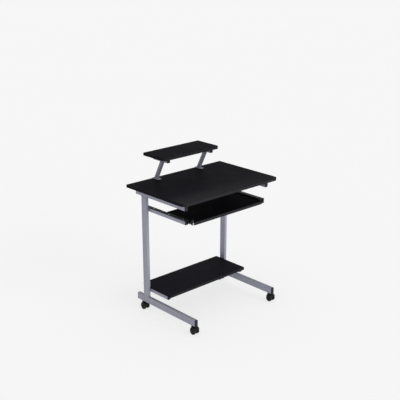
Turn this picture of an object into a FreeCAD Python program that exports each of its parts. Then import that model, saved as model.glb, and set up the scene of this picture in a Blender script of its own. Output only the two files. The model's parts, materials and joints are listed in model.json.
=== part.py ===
import FreeCAD, Part
import math
import os

# Small computer desk on casters: two C-shaped steel side frames, a desktop, a raised monitor shelf
# on two Z brackets, a sliding keyboard tray and a low shelf for the computer.
# Millimetres. +X is the user's right, +Y is the back, +Z is up. The origin is on the floor under
# the middle of the whole desk.

V = FreeCAD.Vector

# ---------------------------------------------------------------- driving dimensions
BOARD = 16.0              # thickness of every board
EDGE_ROUND = 1.2          # softened board edges

DESK_TOP_Z = 750.0
DESK_W, DESK_D = 722.0, 478.0
DESK_FRONT_R, DESK_REAR_R = 27.0, 4.0    # radii of the corners seen from above
REAR_Y = 243.5            # back edge of the desktop; depths below are measured forward from it

MONITOR_TOP_Z = 898.0
MONITOR_W = 420.0
MONITOR_REAR, MONITOR_FRONT = -33.0, 150.0
MONITOR_FRONT_R, MONITOR_REAR_R = 20.0, 4.0

SHELF_W, SHELF_CORNER_R = 592.0, 6.0
SHELF_REAR, SHELF_FRONT = 46.0, 292.0

TRAY_W, TRAY_CORNER_R = 530.0, 12.0
TRAY_REAR, TRAY_FRONT = 222.0, 453.0
TRAY_UNDER_Z = 607.0

# Side frames: round-cornered tube, 20 wide and 40 deep.
TUBE_W, TUBE_H, TUBE_WALL, TUBE_R = 20.0, 40.0, 1.5, 3.5
FRAME_OUT = 317.0         # outer face of each side frame
FOOT_Z = 48.0             # underside of the foot tube
FOOT_REAR, FOOT_FRONT = 19.0, 515.5
POST_REAR, POST_FRONT = 75.0, 115.0
TOP_REAR, TOP_FRONT = 29.0, 439.5

# Square tube for the tray, the low shelf and the monitor brackets.
SQUARE, SQUARE_WALL, SQUARE_R = 20.0, 1.5, 2.5
TRAY_TUBE_FRONT = 419.5
SUPPORT_REAR, SUPPORT_FRONT = 60.0, 268.0
SUPPORT_Z = 117.0
BRACKET_IN = 153.0        # inner face of each monitor bracket
BRACKET_ARM_REAR, BRACKET_ARM_FRONT = 12.0, 135.0
PLATE_W, PLATE_H = 28.0, 3.5             # flat plate under each bracket
PLATE_REAR, PLATE_FRONT = 2.0, 54.0
RISER_FOOT, RISER_HEAD = 25.0, 80.0      # depth of the riser's middle at its two ends
RISER_D = 21.0            # riser tube measured level, front to back

CAP_FRONT, CAP_REAR, CAP_PLUG = 4.5, 2.0, 12.0     # thickness of the caps' heads, length of their plugs

# Tray slides: a C-shaped runner on each tray tube and a rail on each edge of the tray.
SHEET = 1.5
RUNNER_REAR, RUNNER_FRONT = 80.0, 415.0
RUNNER_LIP_X = 270.0      # inner edge of the runner's flanges
RUNNER_UNDER_Z = 609.0
RAIL_REAR, RAIL_FRONT = 224.0, 441.0
TONGUE_Z = 617.5
GLIDE_REAR, GLIDE_FRONT = 226.0, 250.0
PAD_REAR = 395.0
END_BLOCK_FRONT = 451.0
END_BLOCK_UNDER_Z, END_BLOCK_TOP_Z = 609.5, 638.0

# Casters
STEM_R, STEM_FLANGE_R = 4.0, 8.0
TRAIL = 14.0              # the wheels' axle lies this far in front of the stem
WHEEL_R, WHEEL_IN, WHEEL_OUT = 20.0, 7.5, 18.0
AXLE_R, RUNNING_GAP = 2.0, 0.05
CASTER_FRONT, CASTER_REAR = 486.0, 61.0

FRAME_IN = FRAME_OUT - TUBE_W
FRAME_MID = FRAME_OUT - TUBE_W / 2
INNER_MID = FRAME_IN - SQUARE / 2        # middle of the tubes fixed inside the side frames
DESK_UNDER_Z = DESK_TOP_Z - BOARD
TOP_TUBE_Z = DESK_UNDER_Z - TUBE_H
MONITOR_UNDER_Z = MONITOR_TOP_Z - BOARD
BRACKET_MID = BRACKET_IN + SQUARE / 2
SIDES = {"left": -1, "right": 1}


# ---------------------------------------------------------------- helpers
def depth(d):
    """Y of a place d millimetres in front of the desktop's back edge."""
    return REAR_Y - d


def box(x0, x1, d_front, d_rear, z0, z1):
    """Box between two X values, two depths and two heights."""
    low_x = min(x0, x1)
    return Part.makeBox(abs(x1 - x0), d_front - d_rear, z1 - z0, V(low_x, depth(d_front), z0))


def cylinder(x, d, z0, z1, r):
    """Upright cylinder."""
    return Part.makeCylinder(r, z1 - z0, V(x, depth(d), z0), V(0, 0, 1))


def rounded_face(width, height, r, far_r=None):
    """Rounded rectangle centred on the origin of the XY plane; far_r is for the two +Y corners."""
    a, b = width / 2, height / 2
    far_r = r if far_r is None else far_r
    corners = [(V(a, -b, 0), r), (V(a, b, 0), far_r), (V(-a, b, 0), far_r), (V(-a, -b, 0), r)]
    ways = [V(1, 0, 0), V(0, 1, 0), V(-1, 0, 0), V(0, -1, 0), V(1, 0, 0)]
    edges = []
    last = V(-a + r, -b, 0)
    for i, (corner, radius) in enumerate(corners):
        arrive, leave = ways[i], ways[i + 1]
        start, end = corner - arrive * radius, corner + leave * radius
        middle = corner + (leave - arrive) * (radius * (1 - math.sqrt(0.5)))
        edges.append(Part.LineSegment(last, start).toShape())
        edges.append(Part.Arc(start, middle, end).toShape())
        last = end
    return Part.Face(Part.Wire(edges))


def hollow_prism(width, height, r, wall, vector):
    """Tube with a rounded rectangular section in the XY plane, extruded along vector."""
    outer = rounded_face(width, height, r).extrude(vector)
    inner = rounded_face(width - 2 * wall, height - 2 * wall, max(r - wall, 0.6)).extrude(vector)
    return outer.cut(inner)


def lay_along_y(shape, x, d_rear, z):
    """Turn a prism built up +Z so that it runs forward from depth d_rear, centred on x and z."""
    turned = shape.copy()
    turned.rotate(V(0, 0, 0), V(1, 0, 0), 90)
    turned.translate(V(x, depth(d_rear), z))
    return turned


def level_tube(x, z, width, height, r, wall, d_rear, d_front):
    """Tube that runs front to back, centred on x and z, between the heads of its two end caps."""
    length = d_front - d_rear - CAP_FRONT - CAP_REAR
    prism = hollow_prism(width, height, r, wall, V(0, 0, length))
    return lay_along_y(prism, x, d_rear + CAP_REAR, z)


def cap(width, height, r, wall, head):
    """Plug-in cap that faces +Z: a rounded head and a hollow plug behind it."""
    flange = rounded_face(width, height, r).extrude(V(0, 0, head))
    rim = [e for e in flange.Edges if e.BoundBox.ZMin > head - 0.01]
    flange = flange.makeFillet(min(0.4 * head, 1.5), rim)
    inner_w, inner_h = width - 2 * wall - 0.4, height - 2 * wall - 0.4
    plug = hollow_prism(inner_w, inner_h, max(r - wall, 0.6), 1.5, V(0, 0, CAP_PLUG))
    plug.translate(V(0, 0, -CAP_PLUG))
    return flange.fuse(plug).removeSplitter()


def end_caps(x, z, width, height, r, wall, d_rear, d_front):
    """Caps at both ends of a level tube; the front one has the thicker head."""
    front = lay_along_y(cap(width, height, r, wall, CAP_FRONT), x, d_front - CAP_FRONT, z)
    rear = cap(width, height, r, wall, CAP_REAR)
    rear.rotate(V(0, 0, 0), V(1, 0, 0), -90)
    rear.translate(V(x, depth(d_rear + CAP_REAR), z))
    return [front, rear]


def board(width, d_rear, d_front, under_z, front_r, rear_r):
    """Board with rounded corners and softened top and bottom edges."""
    slab = rounded_face(width, d_front - d_rear, front_r, rear_r).extrude(V(0, 0, BOARD))
    slab.translate(V(0, depth((d_rear + d_front) / 2), under_z))
    rims = [e for e in slab.Edges if abs(e.BoundBox.ZMin - e.BoundBox.ZMax) < 0.01]
    return slab.makeFillet(EDGE_ROUND, rims)


def pan_screw(x, d, head_z, tip_z, r, head_r, head_h):
    """Upright screw: domed head at head_z, shank up or down to tip_z."""
    up = 1 if tip_z > head_z else -1
    head = Part.makeCylinder(head_r, head_h, V(0, 0, -head_h), V(0, 0, 1))
    low_rim = [e for e in head.Edges if abs(e.BoundBox.ZMax + head_h) < 0.01]
    head = head.makeFillet(head_h * 0.45, low_rim)
    slot_w = r * 0.5
    for angle in (0, 90):
        slot = Part.makeBox(head_r * 1.1, slot_w, head_h * 0.5, V(-head_r * 0.55, -slot_w / 2, -head_h))
        slot.rotate(V(0, 0, 0), V(0, 0, 1), angle)
        head = head.cut(slot)
    length = abs(tip_z - head_z)
    shank = Part.makeCylinder(r, length - r, V(0, 0, 0), V(0, 0, 1))
    tip = Part.makeCone(r, r * 0.3, r, V(0, 0, length - r), V(0, 0, 1))
    screw = head.fuse([shank, tip]).removeSplitter()
    if up < 0:
        screw.rotate(V(0, 0, 0), V(1, 0, 0), 180)
    screw.translate(V(x, depth(d), head_z))
    return screw


def hex_prism(x, d, z0, z1, across):
    """Upright hexagonal nut body."""
    r = across / math.sqrt(3)
    points = [V(r * math.cos(math.radians(60 * i)), r * math.sin(math.radians(60 * i)), 0) for i in range(7)]
    nut = Part.Face(Part.makePolygon(points)).extrude(V(0, 0, z1 - z0))
    nut.translate(V(x, depth(d), z0))
    return nut


def save(node, shapes):
    """Write one node; a list becomes a group of separate solids."""
    shape = Part.makeCompound(shapes) if isinstance(shapes, list) else shapes
    shape.exportStep("parts/" + node + ".step")


# ---------------------------------------------------------------- boards
DESKTOP_SCREW_DEPTHS = (52.0, 240.0, 412.0)
BRACKET_BOLT_DEPTHS = (9.0, 45.0)
MONITOR_SCREW_DEPTHS = (34.0, 112.0)
SHELF_SCREW_DEPTHS = (130.0, 246.0)
TRAY_SCREW_DEPTHS = (262.0, 340.0, 424.0)
TRAY_SCREW_Z = 612.6
RUNNER_SCREW_DEPTHS = (150.0, 270.0, 390.0)


def make_desktop():
    """Desktop, drilled from below for the frame screws and right through for the bracket bolts."""
    slab = board(DESK_W, 0.0, DESK_D, DESK_UNDER_Z, DESK_FRONT_R, DESK_REAR_R)
    drills = []
    for side in SIDES.values():
        for d in DESKTOP_SCREW_DEPTHS:
            drills.append(cylinder(side * FRAME_MID, d, DESK_UNDER_Z, DESK_UNDER_Z + 11.5, 2.6))
        for d in BRACKET_BOLT_DEPTHS:
            drills.append(cylinder(side * BRACKET_MID, d, DESK_UNDER_Z, DESK_TOP_Z, 3.2))
    return slab.cut(drills)


def make_monitor_shelf():
    """Raised shelf with screw holes in its underside."""
    slab = board(MONITOR_W, MONITOR_REAR, MONITOR_FRONT, MONITOR_UNDER_Z, MONITOR_FRONT_R, MONITOR_REAR_R)
    drills = [cylinder(side * BRACKET_MID, d, MONITOR_UNDER_Z, MONITOR_UNDER_Z + 11.5, 2.1)
              for side in SIDES.values() for d in MONITOR_SCREW_DEPTHS]
    return slab.cut(drills)


def make_bottom_shelf():
    """Low shelf that passes between the two posts."""
    under = SUPPORT_Z + SQUARE
    slab = board(SHELF_W, SHELF_REAR, SHELF_FRONT, under, SHELF_CORNER_R, SHELF_CORNER_R)
    drills = [cylinder(side * INNER_MID, d, under, under + 11.5, 2.1)
              for side in SIDES.values() for d in SHELF_SCREW_DEPTHS]
    return slab.cut(drills)


def make_tray():
    """Keyboard tray with the rail screws' holes in its two ends."""
    slab = board(TRAY_W, TRAY_REAR, TRAY_FRONT, TRAY_UNDER_Z, TRAY_CORNER_R, TRAY_CORNER_R)
    drills = []
    for side in SIDES.values():
        for d in TRAY_SCREW_DEPTHS:
            start = V(side * (TRAY_W / 2 + 1), depth(d), TRAY_SCREW_Z)
            drills.append(Part.makeCylinder(1.9, 18.0, start, V(-side, 0, 0)))
    return slab.cut(drills)


# ---------------------------------------------------------------- side frames
def make_foot(side):
    """Foot tube, drilled below for the caster stems."""
    mid_z = FOOT_Z + TUBE_H / 2
    tube = level_tube(side * FRAME_MID, mid_z, TUBE_W, TUBE_H, TUBE_R, TUBE_WALL, FOOT_REAR, FOOT_FRONT)
    holes = [cylinder(side * FRAME_MID, d, FOOT_Z - 1, FOOT_Z + TUBE_WALL + 1, STEM_R + 0.15)
             for d in (CASTER_FRONT, CASTER_REAR)]
    return tube.cut(holes)


def make_post(side):
    """Upright tube between the foot and the top tube."""
    low, high = FOOT_Z + TUBE_H, TOP_TUBE_Z
    post = hollow_prism(TUBE_W, POST_FRONT - POST_REAR, TUBE_R, TUBE_WALL, V(0, 0, high - low))
    post.translate(V(side * FRAME_MID, depth((POST_REAR + POST_FRONT) / 2), low))
    return post


def make_top_tube(side):
    """Tube under the desktop, drilled for its screws."""
    mid_z = TOP_TUBE_Z + TUBE_H / 2
    tube = level_tube(side * FRAME_MID, mid_z, TUBE_W, TUBE_H, TUBE_R, TUBE_WALL, TOP_REAR, TOP_FRONT)
    holes = [cylinder(side * FRAME_MID, d, TOP_TUBE_Z - 1, DESK_UNDER_Z + 1, 2.7)
             for d in DESKTOP_SCREW_DEPTHS]
    return tube.cut(holes)


def square_tube(x, z, d_rear, d_front):
    """Square tube that runs front to back."""
    return level_tube(x, z, SQUARE, SQUARE, SQUARE_R, SQUARE_WALL, d_rear, d_front)


def square_caps(x, z, d_rear, d_front):
    """Caps of a square tube."""
    return end_caps(x, z, SQUARE, SQUARE, SQUARE_R, SQUARE_WALL, d_rear, d_front)


def make_tray_tube(side):
    """Tube on the inner face of the post that carries the tray's runner."""
    mid_z = TRAY_UNDER_Z + SQUARE / 2
    tube = square_tube(side * INNER_MID, mid_z, POST_REAR, TRAY_TUBE_FRONT)
    top = TRAY_UNDER_Z + SQUARE
    holes = [cylinder(side * INNER_MID, d, top - 3, top + 1, 1.95) for d in RUNNER_SCREW_DEPTHS]
    return tube.cut(holes)


def make_support(side):
    """Tube on the inner face of the post that carries the low shelf."""
    tube = square_tube(side * INNER_MID, SUPPORT_Z + SQUARE / 2, SUPPORT_REAR, SUPPORT_FRONT)
    holes = [cylinder(side * INNER_MID, d, SUPPORT_Z - 1, SUPPORT_Z + SQUARE + 1, 2.2)
             for d in SHELF_SCREW_DEPTHS]
    return tube.cut(holes)


# ---------------------------------------------------------------- monitor brackets
def make_bracket_plate(side):
    """Flat plate under a Z bracket, with threaded holes for the bolts that come up through the desktop."""
    plate = rounded_face(PLATE_W, PLATE_FRONT - PLATE_REAR, 3.0).extrude(V(0, 0, PLATE_H))
    plate.translate(V(side * BRACKET_MID, depth((PLATE_REAR + PLATE_FRONT) / 2), DESK_TOP_Z))
    plate = plate.makeFillet(0.6, [e for e in plate.Edges if e.BoundBox.ZMin > DESK_TOP_Z + PLATE_H - 0.01])
    holes = [cylinder(side * BRACKET_MID, d, DESK_TOP_Z - 1, DESK_TOP_Z + PLATE_H + 1, 3.05)
             for d in BRACKET_BOLT_DEPTHS]
    return plate.cut(holes)


def make_riser(side):
    """Sloping tube of a Z bracket, cut level at both ends."""
    low, high = DESK_TOP_Z + PLATE_H, MONITOR_UNDER_Z - SQUARE
    lean = V(0, -(RISER_HEAD - RISER_FOOT), high - low)
    riser = hollow_prism(SQUARE, RISER_D, SQUARE_R, SQUARE_WALL, lean)
    riser.translate(V(side * BRACKET_MID, depth(RISER_FOOT), low))
    return riser


def make_bracket_arm(side):
    """Arm of a Z bracket, under the raised shelf."""
    mid_z = MONITOR_UNDER_Z - SQUARE / 2
    tube = square_tube(side * BRACKET_MID, mid_z, BRACKET_ARM_REAR, BRACKET_ARM_FRONT)
    holes = [cylinder(side * BRACKET_MID, d, MONITOR_UNDER_Z - SQUARE - 1, MONITOR_UNDER_Z + 1, 2.2)
             for d in MONITOR_SCREW_DEPTHS]
    return tube.cut(holes)


# ---------------------------------------------------------------- tray slides
def make_runner(side):
    """C-shaped sheet runner: its web is on the tray tube and its top flange laps over the tube."""
    top = TRAY_UNDER_Z + SQUARE
    web_in = FRAME_IN - SQUARE - SHEET
    web = box(side * web_in, side * (web_in + SHEET), RUNNER_FRONT, RUNNER_REAR, RUNNER_UNDER_Z, top)
    flange = box(side * RUNNER_LIP_X, side * (FRAME_IN - 1.0), RUNNER_FRONT, RUNNER_REAR, top, top + SHEET)
    lip = box(side * RUNNER_LIP_X, side * web_in, RUNNER_FRONT, RUNNER_REAR,
              RUNNER_UNDER_Z, RUNNER_UNDER_Z + SHEET)
    runner = web.fuse([flange, lip]).removeSplitter()
    holes = [cylinder(side * INNER_MID, d, top - 1, top + SHEET + 1, 1.95) for d in RUNNER_SCREW_DEPTHS]
    return runner.cut(holes)


def make_rail(side):
    """Sheet rail on one end of the tray, with a tongue that runs inside the runner."""
    edge = TRAY_W / 2
    web = box(side * edge, side * (edge + SHEET), RAIL_FRONT, RAIL_REAR, TRAY_UNDER_Z, TRAY_UNDER_Z + BOARD)
    tongue = box(side * (edge + SHEET), side * (edge + 9.5), RAIL_FRONT, RAIL_REAR,
                 TONGUE_Z, TONGUE_Z + SHEET)
    rail = web.fuse(tongue).removeSplitter()
    holes = [Part.makeCylinder(2.0, 6.0, V(side * (edge - 2), depth(d), TRAY_SCREW_Z), V(side, 0, 0))
             for d in TRAY_SCREW_DEPTHS]
    return rail.cut(holes)


def make_pads(side):
    """Plastic pads above and below the tongue at the front of the runner."""
    top = TRAY_UNDER_Z + SQUARE
    outer = FRAME_IN - SQUARE - SHEET
    span = (side * (RUNNER_LIP_X + 0.5), side * outer, RUNNER_FRONT, PAD_REAR)
    lower = box(*span, RUNNER_UNDER_Z + SHEET, TONGUE_Z - 0.5)
    upper = box(*span, TONGUE_Z + SHEET + 0.5, top)
    return [lower, upper]


def make_glide(side):
    """Plastic glide that rides inside the runner, on the back end of the tongue."""
    edge = TRAY_W / 2 + SHEET
    block = box(side * edge, side * (edge + 8.5), GLIDE_FRONT, GLIDE_REAR,
                RUNNER_UNDER_Z + SHEET + 0.5, TRAY_UNDER_Z + SQUARE - 0.5)
    slot = box(side * edge, side * (edge + 8.0), GLIDE_FRONT, GLIDE_REAR, TONGUE_Z, TONGUE_Z + SHEET)
    return block.cut(slot)


def make_end_block(side):
    """Plastic stop block at the front of the rail, beside the tray's corner."""
    edge = TRAY_W / 2
    block = box(side * (edge + 0.3), side * (edge + 11.5), END_BLOCK_FRONT, RAIL_FRONT,
                END_BLOCK_UNDER_Z, END_BLOCK_TOP_Z)
    return block.makeFillet(1.2, block.Edges)


def make_left_end_plate():
    """Bright steel tip on the front of the left stop block."""
    edge = TRAY_W / 2
    plate = box(-(edge + 2.0), -(edge + 9.5), END_BLOCK_FRONT + 1.4, END_BLOCK_FRONT,
                END_BLOCK_UNDER_Z + 2.0, END_BLOCK_UNDER_Z + 14.0)
    front_rim = [e for e in plate.Edges
                 if abs(e.BoundBox.YMax - depth(END_BLOCK_FRONT + 1.4)) < 0.01]
    return plate.makeFillet(0.5, front_rim)


def make_tray_screw(side, d):
    """Screw through the rail into the end of the tray."""
    head_x = TRAY_W / 2 + SHEET
    screw = pan_screw(0, REAR_Y, 0, 15.0, 1.8, 3.0, 1.1)
    screw.rotate(V(0, 0, 0), V(0, 1, 0), -side * 90)
    screw.translate(V(side * head_x, depth(d), TRAY_SCREW_Z))
    return screw


# ---------------------------------------------------------------- casters
def caster_stem(d_at, x_at):
    """Steel stem with a flange under the foot tube and a lock nut inside it."""
    stem = cylinder(x_at, d_at, 26.0, FOOT_Z + 14, STEM_R)
    flange = cylinder(x_at, d_at, FOOT_Z - 1.3, FOOT_Z, STEM_FLANGE_R)
    nut = hex_prism(x_at, d_at, FOOT_Z + TUBE_WALL, FOOT_Z + TUBE_WALL + 6, 12.0)
    return stem.fuse([flange, nut]).removeSplitter()


def hood_sector(radius, half_width):
    """Slice of a disc about the wheel axle, from the back round over the top to the front."""
    first, last = math.radians(30), math.radians(148)
    points = [V(0, 0, 0)]
    for i in range(13):
        a = first + (last - first) * i / 12
        points.append(V(0, 60 * math.cos(a), 60 * math.sin(a)))
    points.append(V(0, 0, 0))
    wedge = Part.Face(Part.makePolygon(points)).extrude(V(2 * half_width, 0, 0))
    wedge.translate(V(-half_width, 0, 0))
    disc = Part.makeCylinder(radius, 2 * half_width, V(-half_width, 0, 0), V(1, 0, 0))
    return disc.common(wedge)


def caster_body():
    """Swivelling body: a web between the wheels, a hood over them and a boss round the stem.

    Built with the stem's axis through the origin and the axle at y = -TRAIL.
    """
    hood = hood_sector(WHEEL_R + 3.3, WHEEL_OUT).cut(
        Part.makeCylinder(WHEEL_R + 1.5, 2 * WHEEL_OUT + 2, V(-WHEEL_OUT - 1, 0, 0), V(1, 0, 0)))
    web = hood_sector(WHEEL_R + 2.0, WHEEL_IN - 1.0)
    hub = Part.makeCylinder(13.0, 2 * (WHEEL_IN - 1.0), V(1.0 - WHEEL_IN, 0, 0), V(1, 0, 0))
    shell = hood.fuse([web, hub])
    shell.translate(V(0, -TRAIL, WHEEL_R))
    column = Part.makeBox(2 * (WHEEL_IN - 1.0), 14.0, 24.0, V(1.0 - WHEEL_IN, -7.0, 18.0))
    boss = Part.makeCylinder(9.0, FOOT_Z - 1.8 - 41.5, V(0, 0, 41.5), V(0, 0, 1))
    body = shell.fuse([column, boss]).removeSplitter()
    bore = Part.makeCylinder(STEM_R + RUNNING_GAP, 40.0, V(0, 0, 25.5), V(0, 0, 1))
    axle_hole = Part.makeCylinder(AXLE_R + 0.02, 60.0, V(-30, -TRAIL, WHEEL_R), V(1, 0, 0))
    return body.cut([bore, axle_hole])


def caster_axle():
    """Steel axle held in the body's web."""
    half = WHEEL_OUT - 1.5
    return Part.makeCylinder(AXLE_R, 2 * half, V(-half, -TRAIL, WHEEL_R), V(1, 0, 0))


def caster_wheel(side):
    """Wheel with a crowned tread, a dished outer face, a hub cap and a blind bore."""
    a, b = WHEEL_IN, WHEEL_OUT
    r = WHEEL_R
    profile = [
        V(a, 0, 0), V(a, 0, 17.6), V(a + 0.6, 0, 19.2), V(a + 1.8, 0, r - 0.12), V((a + b) / 2, 0, r),
        V(b - 1.8, 0, r - 0.12), V(b - 0.6, 0, 19.2), V(b, 0, 17.8), V(b, 0, 15.2), V(b - 1.8, 0, 14.2),
        V(b - 2.2, 0, 7.6), V(b - 0.6, 0, 6.4), V(b, 0, 5.4), V(b, 0, 0), V(a, 0, 0),
    ]
    wheel = Part.Face(Part.makePolygon(profile)).revolve(V(0, 0, 0), V(1, 0, 0), 360)
    bore = Part.makeCylinder(AXLE_R + RUNNING_GAP, b - 1.2 - a + 1, V(a - 1, 0, 0), V(1, 0, 0))
    wheel = wheel.cut(bore)
    if side < 0:
        wheel.rotate(V(0, 0, 0), V(0, 0, 1), 180)
    wheel.translate(V(0, -TRAIL, WHEEL_R))
    return wheel


def save_caster(name, x_at, d_at):
    """Write the five nodes of one caster."""
    place = V(x_at, depth(d_at), 0)
    save(name + "_stem", caster_stem(d_at, x_at))
    moving = {
        "_body": caster_body(),
        "_axle": caster_axle(),
        "_wheel_left": caster_wheel(-1),
        "_wheel_right": caster_wheel(1),
    }
    for suffix, shape in moving.items():
        shape.translate(place)
        save(name + suffix, shape)


# ---------------------------------------------------------------- build
os.makedirs("parts", exist_ok=True)

save("desktop", make_desktop())
save("monitor_shelf", make_monitor_shelf())
save("bottom_shelf", make_bottom_shelf())
save("keyboard_tray", make_tray())

foot_caps, top_caps, tray_caps, support_caps, bracket_caps = [], [], [], [], []
pads, glides, end_blocks = [], [], []
desktop_screws, bracket_bolts, monitor_screws = [], [], []
shelf_screws, runner_screws, tray_screws = [], [], []

for name, side in SIDES.items():
    x_frame, x_inner, x_bracket = side * FRAME_MID, side * INNER_MID, side * BRACKET_MID
    frame_section = (TUBE_W, TUBE_H, TUBE_R, TUBE_WALL)

    save(name + "_foot_tube", make_foot(side))
    save(name + "_post", make_post(side))
    save(name + "_top_tube", make_top_tube(side))
    save(name + "_tray_tube", make_tray_tube(side))
    save(name + "_shelf_support", make_support(side))
    save(name + "_bracket_plate", make_bracket_plate(side))
    save(name + "_bracket_riser", make_riser(side))
    save(name + "_bracket_arm", make_bracket_arm(side))
    save(name + "_runner", make_runner(side))
    save(name + "_rail", make_rail(side))

    foot_caps += end_caps(x_frame, FOOT_Z + TUBE_H / 2, *frame_section, FOOT_REAR, FOOT_FRONT)
    top_caps += end_caps(x_frame, TOP_TUBE_Z + TUBE_H / 2, *frame_section, TOP_REAR, TOP_FRONT)
    tray_caps += square_caps(x_inner, TRAY_UNDER_Z + SQUARE / 2, POST_REAR, TRAY_TUBE_FRONT)
    support_caps += square_caps(x_inner, SUPPORT_Z + SQUARE / 2, SUPPORT_REAR, SUPPORT_FRONT)
    bracket_caps += square_caps(x_bracket, MONITOR_UNDER_Z - SQUARE / 2, BRACKET_ARM_REAR, BRACKET_ARM_FRONT)

    pads += make_pads(side)
    glides.append(make_glide(side))
    end_blocks.append(make_end_block(side))

    for d in DESKTOP_SCREW_DEPTHS:
        desktop_screws.append(pan_screw(x_frame, d, TOP_TUBE_Z, DESK_UNDER_Z + 11, 2.5, 5.0, 2.8))
    for d in BRACKET_BOLT_DEPTHS:
        bracket_bolts.append(pan_screw(x_bracket, d, DESK_UNDER_Z, DESK_TOP_Z + PLATE_H, 3.0, 6.0, 3.0))
    for d in MONITOR_SCREW_DEPTHS:
        monitor_screws.append(
            pan_screw(x_bracket, d, MONITOR_UNDER_Z - SQUARE, MONITOR_UNDER_Z + 11, 2.0, 4.0, 2.2))
    for d in SHELF_SCREW_DEPTHS:
        shelf_screws.append(pan_screw(x_inner, d, SUPPORT_Z, SUPPORT_Z + SQUARE + 11, 2.0, 4.0, 2.2))
    for d in RUNNER_SCREW_DEPTHS:
        head_z = TRAY_UNDER_Z + SQUARE + SHEET
        runner_screws.append(pan_screw(x_inner, d, head_z, head_z - 7, 1.8, 3.4, 1.4))
    for d in TRAY_SCREW_DEPTHS:
        tray_screws.append(make_tray_screw(side, d))

    save_caster("front_" + name + "_caster", x_frame, CASTER_FRONT)
    save_caster("rear_" + name + "_caster", x_frame, CASTER_REAR)

save("foot_tube_end_caps", foot_caps)
save("top_tube_end_caps", top_caps)
save("tray_tube_end_caps", tray_caps)
save("shelf_support_end_caps", support_caps)
save("bracket_end_caps", bracket_caps)
save("runner_pads", pads)
save("tray_glides", glides)
save("tray_end_blocks", end_blocks)
save("left_end_plate", make_left_end_plate())
save("desktop_screws", desktop_screws)
save("bracket_bolts", bracket_bolts)
save("monitor_shelf_screws", monitor_screws)
save("bottom_shelf_screws", shelf_screws)
save("runner_screws", runner_screws)
save("tray_screws", tray_screws)
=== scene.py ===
import bpy
import bmesh
import json
import math
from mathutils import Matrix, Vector, noise


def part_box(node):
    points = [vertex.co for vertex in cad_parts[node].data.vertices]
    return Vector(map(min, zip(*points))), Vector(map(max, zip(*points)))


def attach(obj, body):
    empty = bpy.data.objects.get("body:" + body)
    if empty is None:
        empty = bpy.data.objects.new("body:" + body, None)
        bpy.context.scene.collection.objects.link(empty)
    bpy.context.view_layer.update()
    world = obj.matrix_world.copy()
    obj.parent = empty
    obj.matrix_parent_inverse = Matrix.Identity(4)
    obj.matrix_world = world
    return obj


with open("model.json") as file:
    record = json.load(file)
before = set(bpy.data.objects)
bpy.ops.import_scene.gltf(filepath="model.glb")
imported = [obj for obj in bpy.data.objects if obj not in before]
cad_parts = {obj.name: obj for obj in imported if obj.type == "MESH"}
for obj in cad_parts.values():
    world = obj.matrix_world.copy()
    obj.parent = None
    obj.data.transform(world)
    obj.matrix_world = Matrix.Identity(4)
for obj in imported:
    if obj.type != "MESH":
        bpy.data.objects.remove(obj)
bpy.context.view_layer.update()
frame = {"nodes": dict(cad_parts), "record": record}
NODES = frame["nodes"]

# ------------------------------------------------------------------ looks, as linear colours and metres

GRAIN_DARK = (0.0066, 0.0061, 0.0094)       # laminate, before a board's level of tone and painted shade
GRAIN_LIGHT = (0.0098, 0.0092, 0.0136)
PORE = (0.0040, 0.0038, 0.0060)
SMUDGE = (0.0120, 0.0115, 0.0165)
SEAM = (0.002, 0.002, 0.0025)
FRONT_EDGE = (0.033, 0.033, 0.038)          # edge bands
END_EDGE = (0.010, 0.010, 0.013)
PAINTED_SHEEN = (0.030, 0.030, 0.0345)             # painted sheen: a broad reflection painted onto the desktop's front strip
WORN_RIM = (0.030, 0.030, 0.035)
RIM_WEAR = (-0.0022, -0.0003)               # rim distances over which the wear comes in
SEAM_INSET = 0.0036                         # joint of laminate and edge band, in from the rim
SEAM_BLUR = 0.0006

COAT_DARK = (0.250, 0.256, 0.313)           # silver powder coat
COAT_LIGHT = (0.322, 0.330, 0.396)
COAT_FLAKE = (0.52, 0.53, 0.60)
COAT_CLOUD = (0.230, 0.238, 0.296)
FLOOR_DUST = (0.20, 0.195, 0.19)
DUST_FULL, DUST_NONE = 0.050, 0.095         # heights where the floor's dust is full and gone

SHEET_DARK = (0.0065, 0.0065, 0.0085)       # black coated sheet
SHEET_LIGHT = (0.0115, 0.0115, 0.0140)
SHEET_RUBBED = (0.10, 0.10, 0.105)

NYLON_DARK = (0.0040, 0.0040, 0.0047)       # caster wheels
NYLON_LIGHT = (0.0070, 0.0070, 0.0077)
NYLON_SCUFFED = (0.035, 0.034, 0.032)
TREAD_FROM, TREAD_TO = 0.0186, 0.0196       # radii over which the side turns into the tread
RING_RATE = 9000.0                          # turning rings, in radians per metre of radius

BOARDS = {
    "desktop": {
        "front_r": 0.027, "rear_r": 0.004,
        "tone_and_shade_level": 0.97, "sheen": 0.012, "edge_level": 0.74, "painted_sheen_level": 0.68},
    "monitor_shelf": {
        "front_r": 0.020, "rear_r": 0.004,
        "tone_and_shade_level": 0.90, "sheen": 0.010, "edge_level": 0.60, "painted_sheen_level": 0.0},
    "bottom_shelf": {
        "front_r": 0.006, "rear_r": 0.006,
        "tone_and_shade_level": 1.12, "sheen": 0.018, "edge_level": 0.55, "painted_sheen_level": 0.0},
    # the tray's low level is painted shade: it darkens the tray as if it lay in the desktop's shadow
    "keyboard_tray": {
        "front_r": 0.012, "rear_r": 0.012,
        "tone_and_shade_level": 0.35, "sheen": 0.006, "edge_level": 0.85, "painted_sheen_level": 0.0},
}

# ------------------------------------------------------------------ weld, stage and camera sizes

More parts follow.
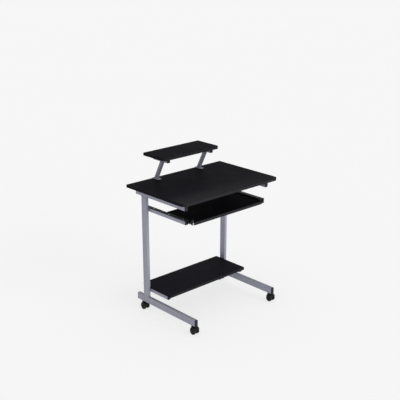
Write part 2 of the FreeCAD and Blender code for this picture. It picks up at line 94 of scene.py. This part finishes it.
BEAD_SIDES = 8
POINT_STEP = 0.0011        # between a bead's points
WELD_STEP = 0.0022         # the welder's steps along a bead
SCALLOP = 0.13             # a step's swelling, as a share of the bead's radius
WANDER = 0.18              # the radius's slow change, as a share of it
TAPER_POINTS = 5.0         # an open bead thins out over these points at its ends
POST_BEAD, TUBE_BEAD, RISER_BEAD = 0.0013, 0.0014, 0.0011
POST_CORNER, RISER_CORNER = 0.0035, 0.0025
RISER_DEPTH = 0.021        # the riser tube's level depth, front to back
RISER_HALF_WIDTH = 0.0097
BEAD_INSET = 0.002         # a side tube's beads stop short of the post's edges

FLOOR_SIZE = 60.0
FLOOR_TINTS = (0.297, 0.297, 0.297), (0.303, 0.303, 0.303)
FLOOR_GLOW = 0.684
HORIZON_STRENGTH, ZENITH_STRENGTH = 0.93, 0.50
KEY_FROM = (0.25, -1.0, 0.22)
KEY_STRENGTH, KEY_ANGLE = 2.2, 50.0

LENS = 69.04
LENS_SHIFT = (0.0068, 0.0829)
CAMERA_PLACE = (-2.8226, -3.0019, 2.0106)
CAMERA_TILT, CAMERA_TURN = 69.104, -42.724

# ------------------------------------------------------------------ node helpers


def shade(color, level):
    """The colour made lighter or darker."""
    return tuple(level * c for c in color)


class Graph:
    """A small builder for one material's nodes."""

    def __init__(self, name):
        self.material = bpy.data.materials.new(name)
        self.material.use_nodes = True
        self.tree = self.material.node_tree
        self.tree.nodes.clear()
        self.coord = self.tree.nodes.new("ShaderNodeTexCoord").outputs["Object"]
        self.normal = self.tree.nodes.new("ShaderNodeNewGeometry").outputs["Normal"]

    def link(self, source, socket):
        if hasattr(source, "is_output"):
            self.tree.links.new(source, socket)
        else:
            socket.default_value = source

    def math(self, operation, a, b=0.0):
        n = self.tree.nodes.new("ShaderNodeMath")
        n.operation = operation
        for value, socket in zip((a, b), n.inputs):
            self.link(value, socket)
        return n.outputs[0]

    def product(self, first, *others):
        for other in others:
            first = self.math("MULTIPLY", first, other)
        return first

    def vector(self, operation, a, b=None):
        n = self.tree.nodes.new("ShaderNodeVectorMath")
        n.operation = operation
        self.link(a, n.inputs[0])
        if b is not None:
            self.link(b, n.inputs[1])
        return n.outputs["Value" if operation == "LENGTH" else "Vector"]

    def split(self, v):
        n = self.tree.nodes.new("ShaderNodeSeparateXYZ")
        self.link(v, n.inputs[0])
        return n.outputs[0], n.outputs[1], n.outputs[2]

    def join(self, x, y, z):
        n = self.tree.nodes.new("ShaderNodeCombineXYZ")
        for value, socket in zip((x, y, z), n.inputs):
            self.link(value, socket)
        return n.outputs[0]

    def noise(self, scale, detail=3.0, roughness=0.55, distortion=0.0):
        """Fractal noise; a scale of three numbers stretches it differently along each axis."""
        n = self.tree.nodes.new("ShaderNodeTexNoise")
        place = self.coord
        if isinstance(scale, tuple):
            place, scale = self.vector("MULTIPLY", self.coord, scale), 1.0
        self.link(place, n.inputs["Vector"])
        n.inputs["Scale"].default_value = scale
        n.inputs["Detail"].default_value = detail
        n.inputs["Roughness"].default_value = roughness
        n.inputs["Distortion"].default_value = distortion
        return n.outputs["Fac"]

    def cells(self, scale):
        n = self.tree.nodes.new("ShaderNodeTexVoronoi")
        self.link(self.coord, n.inputs["Vector"])
        n.inputs["Scale"].default_value = scale
        return n.outputs["Distance"]

    def remap(self, value, low, high, to_low=0.0, to_high=1.0):
        """A smooth, clamped step from to_low to to_high as the value goes from low to high."""
        n = self.tree.nodes.new("ShaderNodeMapRange")
        n.interpolation_type = "SMOOTHSTEP"
        n.clamp = True
        self.link(value, n.inputs["Value"])
        for key, number in (("From Min", low), ("From Max", high), ("To Min", to_low), ("To Max", to_high)):
            n.inputs[key].default_value = number
        return n.outputs["Result"]

    def mix(self, factor, a, b):
        n = self.tree.nodes.new("ShaderNodeMix")
        n.data_type = "RGBA"
        self.link(factor, n.inputs["Factor"])
        for value, socket in ((a, n.inputs[6]), (b, n.inputs[7])):
            if not hasattr(value, "is_output"):
                value = (*value, 1.0)
            self.link(value, socket)
        return n.outputs[2]

    def bump(self, height, strength, distance, below=None):
        n = self.tree.nodes.new("ShaderNodeBump")
        self.link(height, n.inputs["Height"])
        n.inputs["Strength"].default_value = strength
        n.inputs["Distance"].default_value = distance
        if below is not None:
            self.link(below, n.inputs["Normal"])
        return n.outputs["Normal"]

    def finish(self, color, roughness, normal, **sockets):
        shader = self.tree.nodes.new("ShaderNodeBsdfPrincipled")
        self.link(color, shader.inputs["Base Color"])
        self.link(roughness, shader.inputs["Roughness"])
        self.link(normal, shader.inputs["Normal"])
        for key, value in sockets.items():
            self.link(value, shader.inputs[key.replace("_", " ")])
        out = self.tree.nodes.new("ShaderNodeOutputMaterial")
        self.tree.links.new(shader.outputs[0], out.inputs["Surface"])
        return self.material


# ------------------------------------------------------------------ materials


def rim_distance(g, node, front_r, rear_r):
    """How far a point lies outside the board's rounded outline; negative inside it."""
    low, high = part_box(node)
    centre, half = (low + high) / 2, (high - low) / 2
    x, y, _ = g.split(g.coord)
    offset = g.vector("SUBTRACT", g.join(x, y, 0.0), (centre.x, centre.y, 0.0))
    at_rear = g.math("GREATER_THAN", g.split(offset)[1], 0.0)
    corner = g.math("ADD", front_r, g.product(at_rear, rear_r - front_r))
    straight = g.vector("SUBTRACT", (half.x, half.y, 0.0), g.join(corner, corner, 0.0))
    outward = g.vector("SUBTRACT", g.vector("ABSOLUTE", offset), straight)
    return g.math("SUBTRACT", g.vector("LENGTH", g.vector("MAXIMUM", outward, (0.0, 0.0, 0.0))), corner)


def board_material(node, front_r, rear_r, tone_and_shade_level, sheen, edge_level, painted_sheen_level):
    """Black laminate board: printed grain on the faces, plain bands on the edges and slightly worn rims.

    The last argument sets how strongly a painted sheen, a broad reflection painted into the colour,
    lightens the front strip, more so towards the left.
    """
    g = Graph("laminate_" + node)
    low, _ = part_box(node)
    x, y, _ = g.split(g.coord)
    rim = rim_distance(g, node, front_r, rear_r)
    facing_x, _, facing_z = g.split(g.vector("ABSOLUTE", g.normal))
    face = g.remap(facing_z, 0.55, 0.85)
    edge = g.mix(g.remap(facing_x, 0.6, 0.95), shade(FRONT_EDGE, edge_level), END_EDGE)

    grain = g.noise((9.0, 260.0, 260.0), 5.0, 0.62, distortion=0.6)
    pores = g.remap(g.noise((70.0, 1500.0, 1500.0), 2.0, 0.5), 0.56, 0.7)
    smudge = g.noise(5.0, distortion=0.5)
    pebble = g.noise(1900.0, 2.0, 0.5)
    streak = g.product(g.remap(grain, 0.35, 0.72), face)
    color = g.mix(streak, shade(GRAIN_DARK, tone_and_shade_level), shade(GRAIN_LIGHT, tone_and_shade_level))
    color = g.mix(g.product(pores, face, 0.5), color, shade(PORE, tone_and_shade_level))
    color = g.mix(g.remap(smudge, 0.5, 0.85, 0.0, 0.20), color, shade(SMUDGE, tone_and_shade_level))

    # painted sheen: the top face's front strip is lightened, more towards the left, in place of a broad
    # reflection
    behind_front = g.math("SUBTRACT", y, low.y)
    leftward = g.remap(x, 0.30, -0.30, 0.4, 1.0)
    painted_sheen_mask = g.product(g.remap(behind_front, 0.02, 0.17, painted_sheen_level, 0.0), leftward)
    color = g.mix(g.product(painted_sheen_mask, face), color, PAINTED_SHEEN)
    color = g.mix(g.product(g.math("SUBTRACT", 1.0, face), 0.85), color, edge)

    at_rim = g.product(g.remap(rim, *RIM_WEAR), face)
    worn = g.product(at_rim, g.remap(g.noise(55.0, 4.0, 0.7), 0.38, 0.66))
    color = g.mix(g.product(worn, 0.7), color, WORN_RIM)
    inner_side = g.remap(rim, -SEAM_INSET - SEAM_BLUR, -SEAM_INSET)
    outer_side = g.remap(rim, -SEAM_INSET, -SEAM_INSET + SEAM_BLUR, 1.0, 0.0)
    color = g.mix(g.product(inner_side, outer_side, face, 0.6), color, shade(SEAM, tone_and_shade_level))

    roughness = g.math("ADD", g.remap(smudge, 0.3, 0.8, 0.56, 0.48), g.product(pebble, 0.10))
    roughness = g.math("ADD", roughness, g.product(worn, 0.12))
    normal = g.bump(pebble, 0.18, 0.00015)
    normal = g.bump(g.math("SUBTRACT", grain, g.product(pores, 0.6)), 0.22, 0.00022, normal)
    return g.finish(color, roughness, normal, Specular_IOR_Level=sheen)


def silver_material(name, level):
    """Silver-grey powder coat with fine metal flake and an orange-peel surface."""
    g = Graph(name)
    flake = g.cells(2600.0)
    speck = g.noise(1500.0, 2.0, 0.6)
    cloud = g.noise(14.0, 4.0, 0.6, distortion=0.4)
    peel = g.noise(420.0, 2.0, 0.5)
    height = g.split(g.coord)[2]
    color = g.mix(g.remap(speck, 0.35, 0.7), shade(COAT_DARK, level), shade(COAT_LIGHT, level))
    color = g.mix(g.remap(flake, 0.0, 0.35, 0.30, 0.0), color, shade(COAT_FLAKE, level))
    color = g.mix(g.remap(cloud, 0.35, 0.75, 0.0, 0.35), color, shade(COAT_CLOUD, level))
    patches = g.remap(g.noise(90.0, 5.0, 0.7), 0.42, 0.7)
    dust = g.product(g.remap(height, DUST_FULL, DUST_NONE, 1.0, 0.0), patches)
    color = g.mix(g.product(dust, 0.35), color, FLOOR_DUST)
    roughness = g.math("ADD", g.remap(cloud, 0.3, 0.8, 0.40, 0.52), g.product(dust, 0.15))
    normal = g.bump(peel, 0.30, 0.00025)
    normal = g.bump(speck, 0.12, 0.00006, normal)
    return g.finish(color, roughness, normal, Metallic=0.25, Specular_IOR_Level=0.4)


def black_sheet_material():
    """Black coated sheet steel, polished in streaks where the tray rubs along it."""
    g = Graph("black_coated_sheet")
    streaks = g.noise((1800.0, 14.0, 1800.0), 4.0, 0.65)
    broken = g.noise(26.0, 4.0, 0.6)
    speck = g.noise(1300.0, 2.0, 0.5)
    rubbed = g.product(g.remap(streaks, 0.60, 0.72), g.remap(broken, 0.48, 0.66))
    color = g.mix(g.remap(speck, 0.35, 0.7), SHEET_DARK, SHEET_LIGHT)
    color = g.mix(g.product(rubbed, 0.45), color, SHEET_RUBBED)
    roughness = g.math("SUBTRACT", g.remap(broken, 0.3, 0.7, 0.50, 0.40), g.product(rubbed, 0.12))
    normal = g.bump(speck, 0.16, 0.00012)
    normal = g.bump(streaks, 0.08, 0.00008, normal)
    return g.finish(color, roughness, normal, Specular_IOR_Level=0.10)


def moulded_material(name, base, light, roughness_low, roughness_high, specular, grain=1100.0):
    """Moulded plastic: fine spark-eroded grain, faint flow marks and a little dust."""
    g = Graph(name)
    texture = g.noise(grain, 3.0, 0.6)
    flow = g.noise((60.0, 60.0, 18.0), 3.0, 0.5, distortion=1.2)
    dust = g.remap(g.noise(160.0, 5.0, 0.7), 0.55, 0.78)
    color = g.mix(g.remap(flow, 0.3, 0.75), base, light)
    dusty = tuple(c * 1.9 + 0.004 for c in light)
    color = g.mix(g.product(dust, 0.22), color, dusty)
    roughness = g.remap(texture, 0.3, 0.7, roughness_low, roughness_high)
    normal = g.bump(texture, 0.35, 0.00012)
    normal = g.bump(flow, 0.06, 0.0002, normal)
    return g.finish(color, roughness, normal, Specular_IOR_Level=specular)


def wheel_material(node):
    """Black nylon wheel with a scuffed dusty tread and fine turning rings on its sides."""
    g = Graph("nylon_" + node)
    low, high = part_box(node)
    centre = (low + high) / 2
    _, y, z = g.split(g.vector("SUBTRACT", g.coord, tuple(centre)))
    radius = g.vector("LENGTH", g.join(0.0, y, z))
    tread = g.remap(radius, TREAD_FROM, TREAD_TO)
    scuff = g.product(tread, g.remap(g.noise(230.0, 5.0, 0.75), 0.36, 0.66))
    texture = g.noise(1300.0, 2.0, 0.6)
    rings = g.math("SINE", g.product(radius, RING_RATE))
    color = g.mix(g.remap(texture, 0.3, 0.7), NYLON_DARK, NYLON_LIGHT)
    color = g.mix(g.product(scuff, 0.7), color, NYLON_SCUFFED)
    roughness = g.math("ADD", g.remap(texture, 0.3, 0.7, 0.36, 0.46), g.product(scuff, 0.25))
    normal = g.bump(texture, 0.25, 0.0001)
    normal = g.bump(rings, 0.05, 0.00005, normal)
    return g.finish(color, roughness, normal, Specular_IOR_Level=0.14)


def steel_material(name, base, light, roughness):
    """Zinc-plated steel with crystal mottling and fine scratches."""
    g = Graph(name)
    mottle = g.cells(420.0)
    scratch = g.noise((2200.0, 2200.0, 120.0), 3.0, 0.7)
    tarnish = g.remap(g.noise(60.0, 4.0, 0.6), 0.5, 0.8, 0.0, 0.4)
    color = g.mix(g.remap(mottle, 0.1, 0.7), base, light)
    color = g.mix(tarnish, color, shade(base, 0.75))
    rough = g.math("ADD", roughness, g.product(scratch, 0.16))
    normal = g.bump(scratch, 0.12, 0.00008)
    return g.finish(color, rough, normal, Metallic=1.0)


SILVER = silver_material("silver_powder_coat", 1.0)
# painted shade: the same silver coat made darker for the monitor brackets, as if in the shade under the
# monitor shelf
SHADED_BRACKET_SILVER = silver_material("bracket_coat_painted_shade", 0.68)
BY_SLOT = {
    "silver_paint": SILVER,
    "black_paint": black_sheet_material(),
    "black_cap": moulded_material(
        "black_cap_plastic", (0.0065, 0.0065, 0.0095), (0.0125, 0.0120, 0.0160), 0.42, 0.58, 0.20),
    "slide_plastic": moulded_material(
        "slide_acetal", (0.016, 0.016, 0.018), (0.026, 0.026, 0.029), 0.30, 0.40, 0.4),
    "caster_body": moulded_material(
        "caster_nylon", (0.005, 0.005, 0.0055), (0.009, 0.009, 0.0095), 0.34, 0.46, 0.16, 900.0),
    "plated_steel": steel_material("zinc_plated_steel", (0.50, 0.50, 0.49), (0.62, 0.62, 0.60), 0.28),
}


def dress_nodes():
    """Gives every CAD node its material."""
    slots = {s["node"]: s["material_slot"] for s in frame["record"]["subparts"]}
    for name, obj in NODES.items():
        slot = slots[name]
        if slot == "black_board":
            material = board_material(name, **BOARDS[name])
        elif slot == "caster_wheel":
            material = wheel_material(name)
        # the brackets get the darker silver, which is painted shade
        elif "_bracket_" in name:
            material = SHADED_BRACKET_SILVER
        else:
            material = BY_SLOT[slot]
        obj.data.materials.clear()
        obj.data.materials.append(material)


def add_object(name, data):
    """A new object in the scene."""
    obj = bpy.data.objects.new(name, data)
    bpy.context.scene.collection.objects.link(obj)
    return obj


# ------------------------------------------------------------------ weld beads


def bead(name, points, closed, radius, material=SILVER, seed=0):
    """A painted weld bead along a line of points, scalloped by the welder's steps."""
    count = len(points)
    mesh = bpy.data.meshes.new(name)
    bm = bmesh.new()
    rings = []
    travelled = 0.0
    for i, p in enumerate(points):
        before = points[(i - 1) % count] if closed or i else p
        after = points[(i + 1) % count] if closed or i < count - 1 else p
        along = (after - before).normalized()
        side = along.orthogonal().normalized()
        up = along.cross(side)
        if i:
            travelled += (p - points[i - 1]).length
        scallop = 1.0 + SCALLOP * math.sin(travelled / WELD_STEP * 2 * math.pi)
        wander = 1.0 + WANDER * noise.noise(p * 180.0 + Vector((seed, 0, 0)))
        end = 1.0 if closed else min(1.0, 0.35 + 1.3 * min(i, count - 1 - i) / TAPER_POINTS)
        r = radius * scallop * wander * end
        rings.append([bm.verts.new(p + (side * math.cos(a) + up * math.sin(a)) * r)
                      for a in (2 * math.pi * k / BEAD_SIDES for k in range(BEAD_SIDES))])
    for i in range(count if closed else count - 1):
        a, b = rings[i], rings[(i + 1) % count]
        if closed and i == count - 1:
            shift = min(range(BEAD_SIDES), key=lambda s: (a[0].co - b[s].co).length)
            b = b[shift:] + b[:shift]
        for k in range(BEAD_SIDES):
            bm.faces.new((a[k], a[(k + 1) % BEAD_SIDES], b[(k + 1) % BEAD_SIDES], b[k]))
    if not closed:
        bm.faces.new(list(reversed(rings[0])))
        bm.faces.new(rings[-1])
    bmesh.ops.recalc_face_normals(bm, faces=bm.faces)
    bm.to_mesh(mesh)
    bm.free()
    mesh.shade_smooth()
    obj = add_object(name, mesh)
    mesh.materials.append(material)
    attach(obj, "frame")


def rounded_loop(centre, half_x, half_y, corner):
    """Points round a level rounded rectangle."""
    outline = []
    for sx, sy, start in ((1, 1, 0), (-1, 1, 90), (-1, -1, 180), (1, -1, 270)):
        pivot = centre + Vector((sx * (half_x - corner), sy * (half_y - corner), 0))
        turns = max(3, int(corner * math.pi / 2 / POINT_STEP))
        for k in range(turns + 1):
            a = math.radians(start + 90 * k / turns)
            outline.append(pivot + Vector((math.cos(a), math.sin(a), 0)) * corner)
    points = []
    for i, p in enumerate(outline):
        q = outline[(i + 1) % len(outline)]
        pieces = max(1, int((q - p).length / POINT_STEP))
        points += [p.lerp(q, k / pieces) for k in range(pieces)]
    return points


def line(a, b):
    """Evenly spaced points from a to b."""
    count = max(2, int((b - a).length / POINT_STEP))
    return [a.lerp(b, k / count) for k in range(count + 1)]


def make_welds():
    """Weld beads where the steel tubes meet."""
    number = 0
    for side in ("left", "right"):
        post_low, post_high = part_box(side + "_post")
        middle, half = (post_low + post_high) / 2, (post_high - post_low) / 2
        for z, word in ((post_low.z, "foot"), (post_high.z, "top")):
            centre = Vector((middle.x, middle.y, z))
            loop = rounded_loop(centre, half.x - 0.0004, half.y + 0.0002, POST_CORNER)
            bead(f"{side}_post_{word}_weld", loop, True, POST_BEAD, seed=number)
            number += 1

        inner_x = post_low.x if side == "right" else post_high.x
        front, rear = post_low.y + BEAD_INSET, post_high.y - BEAD_INSET
        for tube, words in (("_tray_tube", ("lower",)), ("_shelf_support", ("lower", "upper"))):
            low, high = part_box(side + tube)
            for word in words:
                z = low.z if word == "lower" else high.z
                ends = (Vector((inner_x, front, z)), Vector((inner_x, rear, z)))
                bead(f"{side}{tube}_{word}_weld", line(*ends), False, TUBE_BEAD, seed=number)
                number += 1

        low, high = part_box(side + "_bracket_riser")
        foot = Vector(((low.x + high.x) / 2, high.y - RISER_DEPTH / 2, low.z))
        head = Vector(((low.x + high.x) / 2, low.y + RISER_DEPTH / 2, high.z))
        for centre, word in ((foot, "foot"), (head, "arm")):
            loop = rounded_loop(centre, RISER_HALF_WIDTH, RISER_DEPTH / 2 + 0.0001, RISER_CORNER)
            # the riser welds take the same darker silver, which is painted shade
            bead(f"{side}_riser_{word}_weld", loop, True, RISER_BEAD, SHADED_BRACKET_SILVER, seed=number)
            number += 1


# ------------------------------------------------------------------ stage


def make_floor():
    """A large plain pale floor, faintly glowing so that the desk's shadow stays soft."""
    mesh = bpy.data.meshes.new("floor")
    corners = [(x * FLOOR_SIZE, y * FLOOR_SIZE, 0) for x, y in ((-1, -1), (1, -1), (1, 1), (-1, 1))]
    mesh.from_pydata(corners, [], [(0, 1, 2, 3)])
    obj = add_object("floor", mesh)
    g = Graph("pale_floor")
    tint = g.mix(g.noise(0.6, 2.0), *FLOOR_TINTS)
    grain = g.bump(g.noise(40.0), 0.02, 0.001)
    glow = {"Emission_Color": (1.0, 1.0, 1.0, 1.0), "Emission_Strength": FLOOR_GLOW}
    mesh.materials.append(g.finish(tint, 0.9, grain, Specular_IOR_Level=0.0, **glow))


def make_lights():
    """An even pale sky, darker overhead, with one broad soft light from the front."""
    world = bpy.data.worlds.new("studio")
    bpy.context.scene.world = world
    world.use_nodes = True
    tree = world.node_tree
    tree.nodes.clear()
    coord = tree.nodes.new("ShaderNodeTexCoord")
    parts = tree.nodes.new("ShaderNodeSeparateXYZ")
    ramp = tree.nodes.new("ShaderNodeMapRange")
    background = tree.nodes.new("ShaderNodeBackground")
    out = tree.nodes.new("ShaderNodeOutputWorld")
    tree.links.new(coord.outputs["Generated"], parts.inputs[0])
    tree.links.new(parts.outputs[2], ramp.inputs["Value"])
    ramp.inputs["To Min"].default_value = HORIZON_STRENGTH
    ramp.inputs["To Max"].default_value = ZENITH_STRENGTH
    tree.links.new(ramp.outputs["Result"], background.inputs["Strength"])
    background.inputs["Color"].default_value = (1.0, 1.0, 1.0, 1.0)
    tree.links.new(background.outputs[0], out.inputs["Surface"])

    key = bpy.data.lights.new("key", "SUN")
    key.energy = KEY_STRENGTH
    key.angle = math.radians(KEY_ANGLE)
    add_object("key", key).rotation_euler = Vector(KEY_FROM).to_track_quat("Z", "Y").to_euler()


def make_camera():
    """A camera in front of the desk's left side, a little above it."""
    data = bpy.data.cameras.new("camera")
    data.sensor_width = 36.0
    data.lens = LENS
    data.shift_x, data.shift_y = LENS_SHIFT
    data.clip_end = 200.0
    obj = add_object("camera", data)
    obj.location = CAMERA_PLACE
    obj.rotation_euler = (math.radians(CAMERA_TILT), 0.0, math.radians(CAMERA_TURN))
    bpy.context.scene.camera = obj


dress_nodes()
make_welds()
make_floor()
make_lights()
make_camera()
bpy.context.scene.view_settings.view_transform = "Standard"
